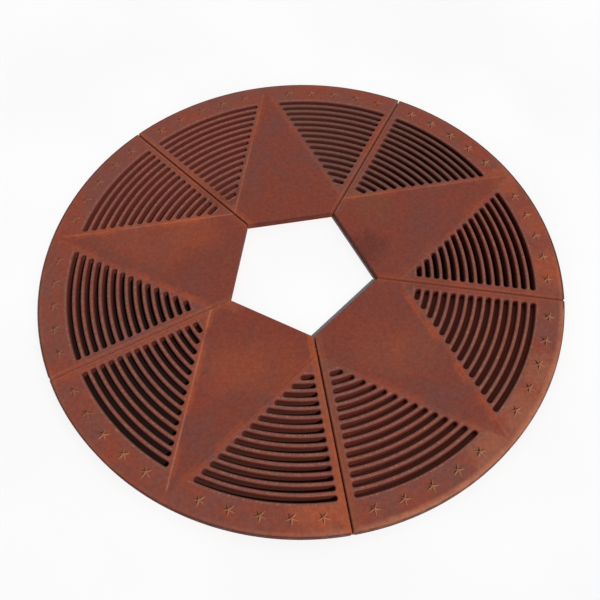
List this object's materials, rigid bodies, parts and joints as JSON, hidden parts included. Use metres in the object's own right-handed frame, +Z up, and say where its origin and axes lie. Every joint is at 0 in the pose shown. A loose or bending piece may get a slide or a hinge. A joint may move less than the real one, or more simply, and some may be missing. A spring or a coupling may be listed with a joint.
{
  "type": "tree grate",
  "caption": "Round cast iron tree grate of equal castings bolted around a tree opening, with curved drainage slots, a large sunk star and a rim of small stars.",
  "frame": {"origin": "on the grate's vertical axis at the flat bottom that it rests on", "axes": "+Z up out of the walking surface, -Y through the front seam, +X to the right"},
  "size_m": [1.524, 1.524, 0.0314],
  "materials": {
    "casting": "bare grey iron, evenly rusted to a red brown, worn lighter on the walking surface",
    "fasteners": "galvanised steel, dulled and rust stained"
  },
  "bodies": {
    "root": {"casting_front_right": "casting", "casting_right": "casting", "casting_back": "casting", "casting_left": "casting", "casting_front_left": "casting", "bolts_front_seam": "fasteners", "bolts_right_seam": "fasteners", "bolts_back_right_seam": "fasteners", "bolts_back_left_seam": "fasteners", "bolts_left_seam": "fasteners", "nuts_front_seam": "fasteners", "nuts_right_seam": "fasteners", "nuts_back_right_seam": "fasteners", "nuts_back_left_seam": "fasteners", "nuts_left_seam": "fasteners", "washers_front_seam": "fasteners", "washers_right_seam": "fasteners", "washers_back_right_seam": "fasteners", "washers_back_left_seam": "fasteners", "washers_left_seam": "fasteners"}
  },
  "joints": []
}
